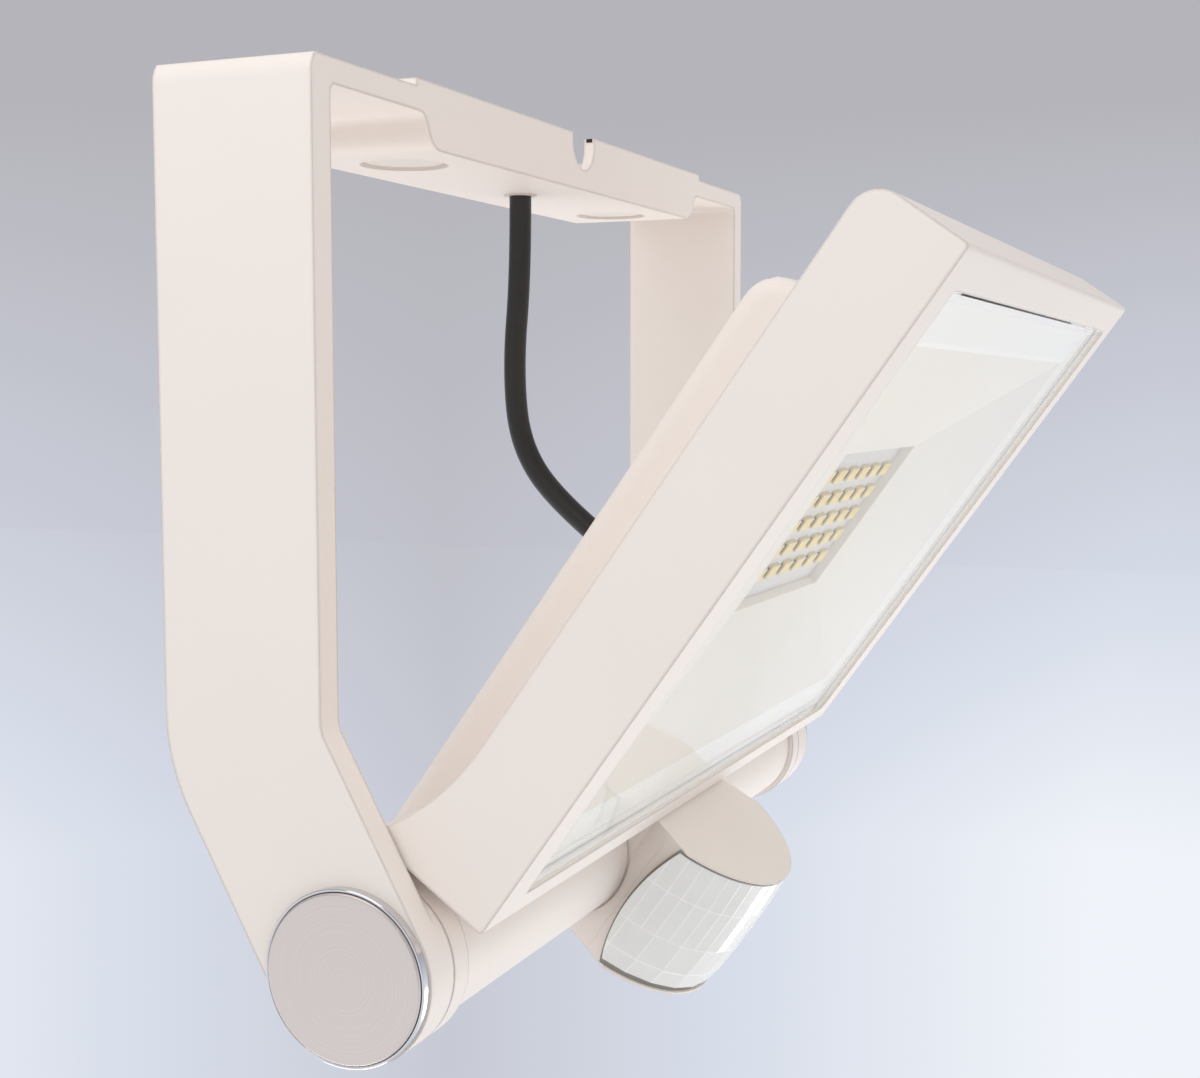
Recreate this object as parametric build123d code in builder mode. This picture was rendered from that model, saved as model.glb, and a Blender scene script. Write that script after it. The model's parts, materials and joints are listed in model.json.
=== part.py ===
from build123d import *
import os
from math import cos, pi, radians, sin, sqrt, tan

# Ceiling floodlight with a motion sensor, in millimetres. The origin is the middle of the bracket's ceiling
# face. +Z points up into the ceiling, X runs along the hinge and -Y is the side the lamp shines to.

# Bracket: a flat strip cast as a U, thicker in the middle, its two legs cranked forward to the hinge
bracket_width = 214.0
strip_width = 30.2
leg_thickness = 5.5
base_thickness = 5.6
bend_height = 112.8
crank_angle = 28.9
crank_length = 41.0
crank_bend_radius = 20.0
outer_corner_radius = 4.5
inner_corner_radius = 1.5
relief_start = 73.0
end_relief = 1.4
hub_boss = 2.2
hub_play = 0.3
collar_length = 5.0

# Terminal box in the middle of the base, open to the ceiling
box_depth = 11.7
box_floor = 2.0
box_wall = 2.5
box_length = 139.6
box_slope = 2.5
box_shoulder_radius = 3.0
box_foot_radius = 4.5
pocket_length = 120.0
screw_spacing = 102.0
screw_hole_radius = 2.6
screw_recess_radius = 8.2
screw_recess_depth = 6.0
screw_boss_wall = 1.8
notch_width = 11.5
notch_depth = 7.4
seal_thickness = 0.8
seal_width = 1.4

# Hinge: a shoulder screw through each hub into the end of the lamp's tube, under a round cap
axle_radius = 4.0
bush_radius = 5.4
axle_reach = 10.0
axle_head_radius = 7.0
axle_head_height = 2.6
running_play = 0.05
hub_pocket_radius = 11.2
hub_pocket_depth = 4.2
washer_radius = 9.0
washer_thickness = 0.8
cap_radius = 14.8
cap_height = 2.1
cap_groove = 0.1
cap_ring_width = 0.5
cap_ring_height = 1.8
cap_edge_radius = 0.4
cap_skirt_depth = 2.4
cap_skirt_wall = 1.0
cap_seat = 0.1

# Lamp: a flat box on a tube along the hinge. Its sizes are measured from the hinge axis, up along the
# lamp's face and forward out of it, and the whole lamp leans forward by lamp_tilt
lamp_tilt = 35.4
panel_side_gap = 0.7
panel_bottom = 18.1
panel_top = 149.4
panel_front = 12.6
panel_back = -4.9
panel_back_radius = 5.0
panel_edge_radius = 0.8
flare_radius = 43.6
flare_start = 43.0
flare_end = 17.0
tube_radius = 13.9
neck_front = 4.0
web_wall = 2.4
hub_clearance = 2.6
back_plate = 1.5
frame_width = 10.3
glass_bottom = 23.8
glass_top = 142.0
glass_thickness = 3.0
glass_recess = 0.7
glass_gap = 0.35
glass_corner = 1.5
seal_under_glass = 0.4
ledge_width = 2.2

# Reflector and light source
bezel_width = 9.3
reflector_bottom = 33.0
reflector_top = 132.2
reflector_wall = 0.8
light_half_width = 28.6
light_bottom = 65.0
light_top = 102.6
reflector_lift = 2.0
board_margin = 3.2
board_thickness = 1.2
pad_thickness = 0.4
led_columns = 6
led_rows = 5
led_pitch = 9.0
led_row_pitch = 5.9
led_length = 5.7
led_width = 3.0
led_height = 0.8

# Driver box on the lamp's back
driver_half_width = 62.0
driver_top = 126.6
driver_bottom = -6.0
driver_back = -22.7
driver_wall = 2.0
driver_side_radius = 3.0
driver_bottom_radius = 4.0
driver_top_radius = 7.0
driver_cavity_bottom = 47.0
driver_screw_inset = 6.5
pillar_radius = 5.0
screw_radius = 1.5
screw_head_radius = 2.8
screw_head_height = 2.2
screw_bite = 1.0
screw_sink = 0.3
screw_head_play = 0.2
post_radius = 2.5
post_height = 4.0
post_spacing = 80.0
post_row_spacing = 50.0
driver_board_thickness = 1.6
driver_block_radius = 0.8
driver_blocks = [(-4.0, 4.0, 24.0, 20.0, 9.0), (30.0, -14.0, 12.0, 18.0, 8.0), (34.0, 16.0, 14.0, 8.0, 7.0)]
driver_cans = [(-32.0, 12.0, 6.0, 9.0), (-32.0, -12.0, 5.0, 9.0), (12.0, -20.0, 4.0, 9.0)]
gland_height = 50.0
gland_base_radius = 8.0
gland_base_thickness = 2.4
gland_nut_radius = 6.6
gland_nut_height = 6.0
gland_edge = 1.0

# Sensor head: a drum lying against the tube, flat above and below, with a lens round its front
sensor_half_width = 25.0
sensor_top = 17.7
sensor_bottom = -14.0
drum_centre = 13.0
sensor_wall = 2.2
sensor_gap = 0.4
sensor_neck = 20.2
sensor_axle_radius = 9.0
sensor_axle_bore = 6.5
sensor_axle_seat = 6.0
lens_thickness = 1.0
lens_bulge = 0.8
lens_top_lip = 0.8
lens_bottom_lip = 1.8
lens_groove = 0.5
lens_foot_groove = 1.2
lens_seal_thickness = 0.5
lens_facets = 48
lens_tiers = [(1.0, 0.0), (0.72, 0.8), (0.38, 1.0), (0.14, 0.75), (0.0, 0.0)]
lens_side_reach = 17.6
lens_side_radius = 41.5
lens_ledge = 1.6
sensor_shoulder_angle = 20.0
neck_depth = 11.9
sensor_base_thickness = 2.2
base_screw_radius = 1.2
base_post_radius = 2.3
base_screw_spacing = 24.0
base_screw_place = 21.0
sensor_board_width = 34.0
sensor_board_height = 24.0
sensor_board_gap = 0.3
detector_radius = 4.6
detector_height = 4.2
dial_radius = 3.4
dial_height = 1.8
dial_spacing = 14.0
dial_forward = 27.5
dial_shaft_radius = 1.5
dial_shaft_reach = 2.0
dial_slot = 0.8

# Supply cable between the box and the lamp, by its turning points
cable_diameter = 4.8
cable_offset = 2.0
cable_inlet_y = 0.9
cable_bends = [(0.9, -28.0), (2.9, -50.0), (0.9, -67.5)]
cable_last_run = 16.6
grommet_flange = 0.3
grommet_radius = 3.3

# Electrical parts in the terminal box
terminal_ways = 3
terminal_pitch = 8.0
terminal_depth = 12.0
terminal_height = 7.4
terminal_place = -27.0
terminal_screw_radius = 1.9
terminal_screw_sink = 0.4
terminal_slot = 0.6
terminal_edge = 0.5
clamp_place = 22.0
clamp_width = 5.0
clamp_reach = 8.0
clamp_thickness = 2.4
clamp_post_height = 3.4
clamp_screw_radius = 1.5

os.makedirs("parts", exist_ok=True)

# Places worked out from the sizes above
crank = radians(crank_angle)
tilt = radians(lamp_tilt)
hinge = Vector(0, -crank_length * sin(crank), -bend_height - crank_length * cos(crank))
half_strip = strip_width / 2
leg_outside = bracket_width / 2
leg_inside = leg_outside - leg_thickness
hub_face = leg_inside - hub_boss
collar_start = hub_face - hub_play - collar_length
panel_half_width = leg_inside - panel_side_gap
glass_half_width = panel_half_width - frame_width
reflector_half_width = glass_half_width - bezel_width
lamp_up = Vector(0, -sin(tilt), cos(tilt))
lamp_forward = Vector(0, -cos(tilt), -sin(tilt))
lamp_face = Plane(origin=hinge, x_dir=(1, 0, 0), z_dir=lamp_forward)
lamp_side = Plane(origin=hinge, x_dir=lamp_up, z_dir=(1, 0, 0))


def save(part, label, folder="parts"):
    """Name a finished piece and write it."""
    part.label = label
    export_step(part, f"{folder}/{label}.step")


def plan_at(height):
    """A plane across the lamp at a height above the hinge: x across, y forward, extruding downwards."""
    return Plane(origin=hinge + lamp_up * height, x_dir=(1, 0, 0), z_dir=-lamp_up)


def axis_plane(distance):
    """A plane across the hinge axis, at a distance from the middle."""
    return Plane.YZ.offset(distance)


# Bracket
leg_bottom = hinge.Z - strip_width
with BuildPart() as mounting_bracket:
    with BuildSketch(Plane.XZ) as front_outline:
        with BuildLine():
            slope_top = box_length / 2
            FilletPolyline(
                (0, 0), (leg_outside, 0), (leg_outside, leg_bottom), radius=outer_corner_radius
            )
            Line((leg_outside, leg_bottom), (leg_inside, leg_bottom))
            FilletPolyline(
                (leg_inside, leg_bottom), (leg_inside, -base_thickness), (slope_top, -base_thickness),
                (slope_top - box_slope, -box_depth), (0, -box_depth),
                radius=(inner_corner_radius, box_shoulder_radius, box_foot_radius),
            )
            mirror(about=Plane.YZ)
        make_face()
    extrude(amount=abs(hinge.Y) + strip_width, both=True)
    with BuildSketch(Plane.YZ) as leg_outline:
        with BuildLine() as leg_run:
            FilletPolyline(
                (0, 0), (0, -bend_height), (hinge.Y, hinge.Z), radius=crank_bend_radius
            )
        trace(line_width=strip_width)
        with Locations((hinge.Y, hinge.Z)):
            Circle(half_strip)
    extrude(amount=leg_outside, both=True, mode=Mode.INTERSECT)
    # Hub bosses on the insides of the legs
    for side in (-1, 1):
        with BuildSketch(axis_plane(side * leg_inside)):
            with Locations((hinge.Y, hinge.Z)):
                Circle(half_strip)
        extrude(amount=-side * hub_boss)
    # The ends stand a little off the ceiling
    with BuildSketch(Plane.XZ):
        with Locations((0, 0)):
            Rectangle(2 * bracket_width, 2 * end_relief)
            Rectangle(2 * relief_start, 2 * end_relief, mode=Mode.SUBTRACT)
    extrude(amount=strip_width, both=True, mode=Mode.SUBTRACT)
    # Terminal box with a pillar over each screw recess
    with BuildSketch(Plane.XY):
        Rectangle(pocket_length, strip_width - 2 * box_wall)
        fillet(vertices(), radius=box_wall)
    extrude(amount=-(box_depth - box_floor), mode=Mode.SUBTRACT)
    with BuildSketch(Plane.XY):
        with GridLocations(screw_spacing, 0, 2, 1):
            Circle(screw_recess_radius + screw_boss_wall)
    extrude(amount=-box_depth + box_floor)
    with Locations(Plane.XY.offset(-box_depth) * Rotation(180, 0, 0)):
        with GridLocations(screw_spacing, 0, 2, 1):
            CounterBoreHole(screw_hole_radius, screw_recess_radius, screw_recess_depth, depth=box_depth)
    # Cable notch in the front wall, cable hole in the floor and groove for the ceiling seal
    with BuildSketch(Plane.XZ.offset(half_strip)):
        with Locations((0, notch_width / 2 - notch_depth)):
            Circle(notch_width / 2)
            Rectangle(notch_width, notch_depth, align=(Align.CENTER, Align.MIN))
    extrude(amount=-box_wall, mode=Mode.SUBTRACT)
    with Locations((cable_offset, cable_inlet_y, -box_depth + box_floor)):
        Hole(grommet_radius, depth=2 * box_floor)
    with BuildSketch(Plane.XY.offset(-seal_thickness)):
        Rectangle(pocket_length + box_wall + seal_width, strip_width - box_wall + seal_width)
        Rectangle(pocket_length + box_wall - seal_width, strip_width - box_wall - seal_width, mode=Mode.SUBTRACT)
    extrude(amount=seal_thickness, mode=Mode.SUBTRACT)
    # Posts for the cord clamp
    with BuildSketch(Plane.XY.offset(-box_depth + box_floor)):
        with Locations((clamp_place, 0)):
            with GridLocations(0, 2 * clamp_reach, 1, 2):
                Circle(clamp_width / 2)
    extrude(amount=clamp_post_height)
    with Locations((clamp_place, 0, -box_depth + box_floor + clamp_post_height)):
        with GridLocations(0, 2 * clamp_reach, 1, 2):
            Hole(clamp_screw_radius, depth=clamp_post_height)
    # Hubs: a pocket for the screw's head and washers, and the bush's bore
    for side in (-1, 1):
        with BuildSketch(axis_plane(side * leg_outside)):
            with Locations((hinge.Y, hinge.Z)):
                Circle(hub_pocket_radius)
        extrude(amount=-side * hub_pocket_depth, mode=Mode.SUBTRACT)
        with BuildSketch(axis_plane(side * leg_outside)):
            with Locations((hinge.Y, hinge.Z)):
                Circle(bush_radius)
        extrude(amount=-side * bracket_width / 4, mode=Mode.SUBTRACT)
save(mounting_bracket.part, "mounting_bracket")

# Foam seal round the terminal box, open at the cable notch
with BuildPart() as ceiling_gasket:
    with BuildSketch(Plane.XY.offset(-seal_thickness)):
        Rectangle(pocket_length + box_wall + seal_width, strip_width - box_wall + seal_width)
        Rectangle(pocket_length + box_wall - seal_width, strip_width - box_wall - seal_width, mode=Mode.SUBTRACT)
        with Locations((0, -half_strip)):
            Rectangle(notch_width, 2 * box_wall, mode=Mode.SUBTRACT)
    extrude(amount=seal_thickness)
save(ceiling_gasket.part, "ceiling_gasket")

# Terminal block: a row of ways, each with a wire mouth at both sides and a screw on top
terminal_length = terminal_ways * terminal_pitch
block_floor = -box_depth + box_floor
block_top = block_floor + terminal_height
with BuildPart() as terminal_block:
    with BuildSketch(Plane.XY.offset(block_floor)):
        with Locations((terminal_place, 0)):
            Rectangle(terminal_length, terminal_depth)
    extrude(amount=terminal_height)
    with BuildSketch(Plane.XZ.offset(terminal_depth)):
        with Locations((terminal_place, block_floor + terminal_height / 3)):
            with GridLocations(terminal_pitch, 0, terminal_ways, 1):
                Circle(terminal_height / 5)
    extrude(amount=-2 * terminal_depth, mode=Mode.SUBTRACT)
    with Locations((terminal_place, 0, block_top)):
        with GridLocations(terminal_pitch, 0, terminal_ways, 1):
            Hole(terminal_screw_radius, depth=terminal_height / 3)
    chamfer(terminal_block.faces().sort_by(Axis.Z)[-1].outer_wire().edges(), length=terminal_edge)
save(terminal_block.part, "terminal_block")

with BuildPart() as terminal_screws:
    with BuildSketch(Plane.XY.offset(block_top - terminal_height / 3)):
        with Locations((terminal_place, 0)):
            with GridLocations(terminal_pitch, 0, terminal_ways, 1):
                Circle(terminal_screw_radius)
    extrude(amount=terminal_height / 3 - terminal_screw_sink)
    with BuildSketch(Plane.XY.offset(block_top - terminal_screw_sink)):
        with Locations((terminal_place, 0)):
            with GridLocations(terminal_pitch, 0, terminal_ways, 1):
                Rectangle(3 * terminal_screw_radius, terminal_slot)
    extrude(amount=-terminal_slot, mode=Mode.SUBTRACT)
save(terminal_screws.part, "terminal_screws")

# Cord clamp: a bar arched over the supply cord, on its two posts
clamp_seat = block_floor + clamp_post_height
with BuildPart() as cord_clamp:
    with BuildSketch(Plane.YZ.offset(clamp_place)):
        with Locations((0, clamp_seat)):
            Rectangle(2 * clamp_reach + clamp_width, clamp_thickness, align=(Align.CENTER, Align.MIN))
        with Locations((0, clamp_seat - clamp_post_height / 2)):
            Circle(clamp_reach / 2, mode=Mode.SUBTRACT)
    extrude(amount=clamp_width / 2, both=True)
    with Locations((clamp_place, 0, clamp_seat + clamp_thickness)):
        with GridLocations(0, 2 * clamp_reach, 1, 2):
            Hole(clamp_screw_radius, depth=2 * clamp_thickness)
save(cord_clamp.part, "cord_clamp")

with BuildPart() as clamp_screws:
    with BuildSketch(Plane.XY.offset(block_floor)):
        with Locations((clamp_place, 0)):
            with GridLocations(0, 2 * clamp_reach, 1, 2):
                Circle(clamp_screw_radius)
    extrude(amount=clamp_post_height + clamp_thickness)
    with BuildSketch(Plane.XY.offset(clamp_seat + clamp_thickness)):
        with Locations((clamp_place, 0)):
            with GridLocations(0, 2 * clamp_reach, 1, 2):
                Circle(clamp_width / 2)
    extrude(amount=clamp_screw_radius)
save(clamp_screws.part, "clamp_screws")

# Grommet in the box's floor, with the lamp's cable hanging out of it
grommet_face = -box_depth - grommet_flange
with BuildPart() as cable_grommet:
    with BuildSketch(Plane.XY.offset(grommet_face)):
        with Locations((cable_offset, cable_inlet_y)):
            Circle(grommet_radius + grommet_flange)
    extrude(amount=grommet_flange)
    with BuildSketch(Plane.XY.offset(-box_depth)):
        with Locations((cable_offset, cable_inlet_y)):
            Circle(grommet_radius)
    extrude(amount=box_floor + grommet_flange)
save(cable_grommet.part, "cable_grommet")

# Hinges, the same at both legs
for side, name in ((-1, "left"), (1, "right")):
    pocket_floor = leg_outside - hub_pocket_depth
    with BuildPart() as bush:
        with BuildSketch(axis_plane(side * hub_face)):
            with Locations((hinge.Y, hinge.Z)):
                Circle(bush_radius)
                Circle(axle_radius + running_play, mode=Mode.SUBTRACT)
        extrude(amount=side * (pocket_floor - hub_face))
    save(bush.part, f"hinge_bush_{name}")
    with BuildPart() as washer:
        with BuildSketch(axis_plane(side * pocket_floor)):
            with Locations((hinge.Y, hinge.Z)):
                Circle(washer_radius)
                Circle(axle_radius + 2 * running_play, mode=Mode.SUBTRACT)
        extrude(amount=side * washer_thickness)
    save(washer.part, f"friction_washer_{name}")
    head_seat = pocket_floor + washer_thickness + running_play
    with BuildPart() as hinge_screw:
        with BuildSketch(axis_plane(side * (hub_face - hub_play - axle_reach))):
            with Locations((hinge.Y, hinge.Z)):
                Circle(axle_radius)
        extrude(amount=side * (head_seat - hub_face + hub_play + axle_reach))
        with BuildSketch(axis_plane(side * head_seat)):
            with Locations((hinge.Y, hinge.Z)):
                Circle(axle_head_radius)
                RegularPolygon(axle_head_radius / 2, 6, mode=Mode.SUBTRACT)
        extrude(amount=side * axle_head_height)
    save(hinge_screw.part, f"hinge_screw_{name}")
    with BuildPart() as cap_ring:
        with BuildSketch(axis_plane(side * leg_outside)):
            with Locations((hinge.Y, hinge.Z)):
                Circle(cap_radius)
                Circle(cap_radius - cap_ring_width, mode=Mode.SUBTRACT)
        extrude(amount=side * cap_ring_height)
        chamfer(cap_ring.faces().sort_by(Axis.X)[-1 if side > 0 else 0].edges(), length=cap_ring_width / 4)
    save(cap_ring.part, f"cap_ring_{name}")
    disc_radius = cap_radius - cap_ring_width - cap_groove
    skirt_radius = hub_pocket_radius - cap_seat
    with BuildPart() as hub_cap:
        with BuildSketch(axis_plane(side * leg_outside)):
            with Locations((hinge.Y, hinge.Z)):
                Circle(disc_radius)
        extrude(amount=side * cap_height)
        fillet(hub_cap.faces().sort_by(Axis.X)[-1 if side > 0 else 0].edges(), radius=cap_edge_radius)
        with BuildSketch(axis_plane(side * leg_outside)):
            with Locations((hinge.Y, hinge.Z)):
                Circle(skirt_radius)
                Circle(skirt_radius - cap_skirt_wall, mode=Mode.SUBTRACT)
        extrude(amount=-side * cap_skirt_depth)
    save(hub_cap.part, f"hub_cap_{name}")
    with BuildPart() as hinge_tube:
        with BuildSketch(axis_plane(side * (sensor_neck + sensor_gap))):
            with Locations((hinge.Y, hinge.Z)):
                Circle(tube_radius)
        extrude(amount=side * (collar_start - sensor_neck - sensor_gap))
        with BuildSketch(axis_plane(side * collar_start)):
            with Locations((hinge.Y, hinge.Z)):
                Circle(half_strip)
        extrude(amount=side * (hub_face - hub_play - collar_start))
        with BuildSketch(axis_plane(side * (sensor_neck + sensor_gap))):
            with Locations((hinge.Y, hinge.Z)):
                Circle(sensor_axle_radius)
        extrude(amount=side * sensor_axle_seat, mode=Mode.SUBTRACT)
        with BuildSketch(axis_plane(side * (sensor_neck + sensor_gap))):
            with Locations((hinge.Y, hinge.Z)):
                Circle(sensor_axle_bore)
        extrude(amount=side * (hub_face - hub_play - 2 * axle_reach - sensor_neck), mode=Mode.SUBTRACT)
        with BuildSketch(axis_plane(side * (hub_face - hub_play))):
            with Locations((hinge.Y, hinge.Z)):
                Circle(axle_radius)
        extrude(amount=-side * axle_reach, mode=Mode.SUBTRACT)
    save(hinge_tube.part, f"hinge_tube_{name}")

# Hollow axle between the two tubes, for the sensor to turn on
with BuildPart() as sensor_axle:
    with BuildSketch(axis_plane(0)):
        with Locations((hinge.Y, hinge.Z)):
            Circle(sensor_axle_radius)
            Circle(sensor_axle_bore, mode=Mode.SUBTRACT)
    extrude(amount=sensor_neck + sensor_gap + sensor_axle_seat, both=True)
save(sensor_axle.part, "sensor_axle")

# Lamp housing: a shallow tray, with a web behind that runs down and round the back of the tube
panel_inside = panel_back + back_plate
seat_level = panel_front - glass_recess - glass_thickness - seal_under_glass - reflector_wall
flare_low = panel_back - flare_radius + sqrt(flare_radius**2 - (flare_start - flare_end) ** 2)
web_back = -tube_radius - web_wall
cavity_middle = (driver_top - driver_wall + driver_cavity_bottom) / 2
cavity_length = driver_top - driver_wall - driver_cavity_bottom
screws_across = 2 * (driver_half_width - driver_screw_inset)
screws_up = cavity_length - 2 * (driver_screw_inset - driver_wall)
rear = Plane(origin=hinge + lamp_forward * driver_back, x_dir=(1, 0, 0), z_dir=-lamp_forward)
with BuildPart() as lamp_housing:
    with BuildSketch(lamp_side):
        with BuildLine():
            FilletPolyline(
                (flare_start, panel_back), (panel_top, panel_back), (panel_top, panel_front),
                (panel_bottom, panel_front), (panel_bottom, -neck_front),
                radius=(panel_back_radius, panel_edge_radius, panel_edge_radius),
            )
            Line((panel_bottom, -neck_front), (0, -neck_front))
            Line((0, -neck_front), (0, web_back))
            Line((0, web_back), (flare_end, flare_low))
            RadiusArc((flare_end, flare_low), (flare_start, panel_back), flare_radius)
        make_face()
    extrude(amount=panel_half_width, both=True)
    # Room for the tube, the sensor's hub and the legs' hubs
    with BuildSketch(Plane.YZ):
        with Locations((hinge.Y, hinge.Z)):
            Circle(tube_radius)
    extrude(amount=bracket_width, both=True, mode=Mode.SUBTRACT)
    with BuildSketch(Plane.YZ):
        with Locations((hinge.Y, hinge.Z)):
            Circle(tube_radius + sensor_gap)
    extrude(amount=sensor_neck + sensor_gap, both=True, mode=Mode.SUBTRACT)
    for side in (-1, 1):
        with BuildSketch(axis_plane(side * collar_start)):
            with Locations((hinge.Y, hinge.Z)):
                Circle(half_strip + hub_clearance)
        extrude(amount=side * bracket_width, mode=Mode.SUBTRACT)
    # Tray for the reflector, with a seat for the glass
    glass_middle = (glass_top + glass_bottom) / 2
    glass_width = 2 * glass_half_width
    glass_length = glass_top - glass_bottom
    with BuildSketch(lamp_face.offset(panel_front)):
        with Locations((0, glass_middle)):
            RectangleRounded(glass_width + 2 * glass_gap, glass_length + 2 * glass_gap, glass_corner)
    extrude(amount=-(panel_front - seat_level), mode=Mode.SUBTRACT)
    with BuildSketch(lamp_face.offset(seat_level)):
        with Locations((0, glass_middle)):
            RectangleRounded(glass_width - 2 * ledge_width, glass_length - 2 * ledge_width, glass_corner)
    extrude(amount=-(seat_level - panel_inside), mode=Mode.SUBTRACT)
    # Threaded holes for the driver housing's screws
    with BuildSketch(lamp_face.offset(panel_back)):
        with Locations((0, cavity_middle)):
            with GridLocations(screws_across, screws_up, 2, 2):
                Circle(screw_radius)
    extrude(amount=screw_bite, mode=Mode.SUBTRACT)
save(lamp_housing.part, "lamp_housing")

# Reflector: a flange under the glass, a shallow funnel and an upright edge round the light source
reflector_middle = (reflector_top + reflector_bottom) / 2
light_middle = (light_top + light_bottom) / 2
board_front = panel_inside + pad_thickness + board_thickness
funnel_foot = board_front + reflector_lift
flange_top = seat_level + reflector_wall
with BuildPart() as reflector:
    with BuildSketch(lamp_face.offset(seat_level)):
        with Locations((0, glass_middle)):
            RectangleRounded(glass_width, glass_length, glass_corner)
    extrude(amount=reflector_wall)
    for drop, mode in ((reflector_wall, Mode.ADD), (0, Mode.SUBTRACT)):
        with BuildSketch(lamp_face.offset(flange_top - drop)):
            with Locations((0, reflector_middle)):
                Rectangle(2 * reflector_half_width, reflector_top - reflector_bottom)
        with BuildSketch(lamp_face.offset(funnel_foot - drop)):
            with Locations((0, light_middle)):
                Rectangle(2 * light_half_width, light_top - light_bottom)
        loft(mode=mode)
    with BuildSketch(lamp_face.offset(board_front)):
        with Locations((0, light_middle)):
            Rectangle(2 * (light_half_width + reflector_wall), light_top - light_bottom + 2 * reflector_wall)
    extrude(amount=reflector_lift)
    with BuildSketch(lamp_face.offset(board_front)):
        with Locations((0, light_middle)):
            Rectangle(2 * light_half_width, light_top - light_bottom)
    extrude(amount=reflector_lift, mode=Mode.SUBTRACT)
save(reflector.part, "reflector")

with BuildPart() as glass_gasket:
    with BuildSketch(lamp_face.offset(flange_top)):
        with Locations((0, glass_middle)):
            RectangleRounded(glass_width, glass_length, glass_corner)
            Rectangle(glass_width - 2 * ledge_width, glass_length - 2 * ledge_width, mode=Mode.SUBTRACT)
    extrude(amount=seal_under_glass)
save(glass_gasket.part, "glass_gasket")

with BuildPart() as front_glass:
    with BuildSketch(lamp_face.offset(flange_top + seal_under_glass)):
        with Locations((0, glass_middle)):
            RectangleRounded(glass_width, glass_length, glass_corner)
    extrude(amount=glass_thickness)
save(front_glass.part, "front_glass")

# Light source: a grid of light chips on a board, on a heat pad
board_width = 2 * (light_half_width + board_margin)
board_length = light_top - light_bottom + 2 * board_margin
with BuildPart() as heat_pad:
    with BuildSketch(lamp_face.offset(panel_inside)):
        with Locations((0, light_middle)):
            Rectangle(board_width, board_length)
    extrude(amount=pad_thickness)
save(heat_pad.part, "heat_pad")

with BuildPart() as led_board:
    with BuildSketch(lamp_face.offset(panel_inside + pad_thickness)):
        with Locations((0, light_middle)):
            Rectangle(board_width, board_length)
    extrude(amount=board_thickness)
save(led_board.part, "led_board")

with BuildPart() as leds:
    with BuildSketch(lamp_face.offset(board_front)):
        with Locations((0, light_middle)):
            with GridLocations(led_pitch, led_row_pitch, led_columns, led_rows):
                Rectangle(led_length, led_width)
    extrude(amount=led_height)
save(leds.part, "leds")

# Driver housing: a box on the lamp's back that follows the web down to the tube, hollow behind the tray
housing_depth = panel_back - driver_back
with BuildPart() as driver_housing:
    with BuildSketch(lamp_side):
        with BuildLine():
            FilletPolyline(
                (flare_start, panel_back), (driver_top, panel_back), (driver_top, driver_back),
                (driver_bottom, driver_back), (driver_bottom, web_back), (0, web_back),
                radius=(0, driver_top_radius, driver_bottom_radius, 0),
            )
            Line((0, web_back), (flare_end, flare_low))
            RadiusArc((flare_end, flare_low), (flare_start, panel_back), flare_radius)
        make_face()
    extrude(amount=driver_half_width, both=True)
    rear_face = driver_housing.faces().sort_by(Axis(hinge, lamp_forward))[0]
    fillet(rear_face.edges().filter_by(Axis(hinge, lamp_up)), radius=driver_side_radius)
    with BuildSketch(lamp_face.offset(panel_back)):
        with Locations((0, cavity_middle)):
            Rectangle(2 * (driver_half_width - driver_wall), cavity_length)
    extrude(amount=-(housing_depth - driver_wall), mode=Mode.SUBTRACT)
    # Pillars for the screws and posts for the driver's board
    with BuildSketch(lamp_face.offset(driver_back + driver_wall)):
        with Locations((0, cavity_middle)):
            with GridLocations(screws_across, screws_up, 2, 2):
                Circle(pillar_radius)
    extrude(amount=housing_depth - driver_wall)
    with BuildSketch(lamp_face.offset(driver_back + driver_wall)):
        with Locations((0, cavity_middle)):
            with GridLocations(post_spacing, post_row_spacing, 2, 2):
                Circle(post_radius)
    extrude(amount=post_height)
    with Locations(rear):
        with Locations((0, -cavity_middle)):
            with GridLocations(screws_across, screws_up, 2, 2):
                CounterBoreHole(screw_radius, screw_head_radius + screw_head_play, screw_head_height + screw_sink)
save(driver_housing.part, "driver_housing")

with BuildPart() as housing_screws:
    with BuildSketch(lamp_face.offset(driver_back + screw_sink)):
        with Locations((0, cavity_middle)):
            with GridLocations(screws_across, screws_up, 2, 2):
                Circle(screw_head_radius)
                RegularPolygon(screw_radius, 6, mode=Mode.SUBTRACT)
    extrude(amount=screw_head_height)
    with BuildSketch(lamp_face.offset(driver_back + screw_sink + screw_head_height)):
        with Locations((0, cavity_middle)):
            with GridLocations(screws_across, screws_up, 2, 2):
                Circle(screw_radius)
    extrude(amount=housing_depth + screw_bite - screw_sink - screw_head_height)
save(housing_screws.part, "housing_screws")

# Driver: a board on its posts, with its larger parts
board_level = driver_back + driver_wall + post_height
with BuildPart() as driver_board:
    with BuildSketch(lamp_face.offset(board_level)):
        with Locations((0, cavity_middle)):
            Rectangle(post_spacing + 4 * post_radius, post_row_spacing + 4 * post_radius)
    extrude(amount=driver_board_thickness)
save(driver_board.part, "driver_board")

with BuildPart() as driver_parts:
    parts_plane = lamp_face.offset(board_level + driver_board_thickness)
    for x, y, width, length, height in driver_blocks:
        with BuildSketch(parts_plane):
            with Locations((x, cavity_middle + y)):
                RectangleRounded(width, length, driver_block_radius)
        extrude(amount=height)
    for x, y, radius, height in driver_cans:
        with BuildSketch(parts_plane):
            with Locations((x, cavity_middle + y)):
                Circle(radius)
        extrude(amount=height)
save(driver_parts.part, "driver_parts")

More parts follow.
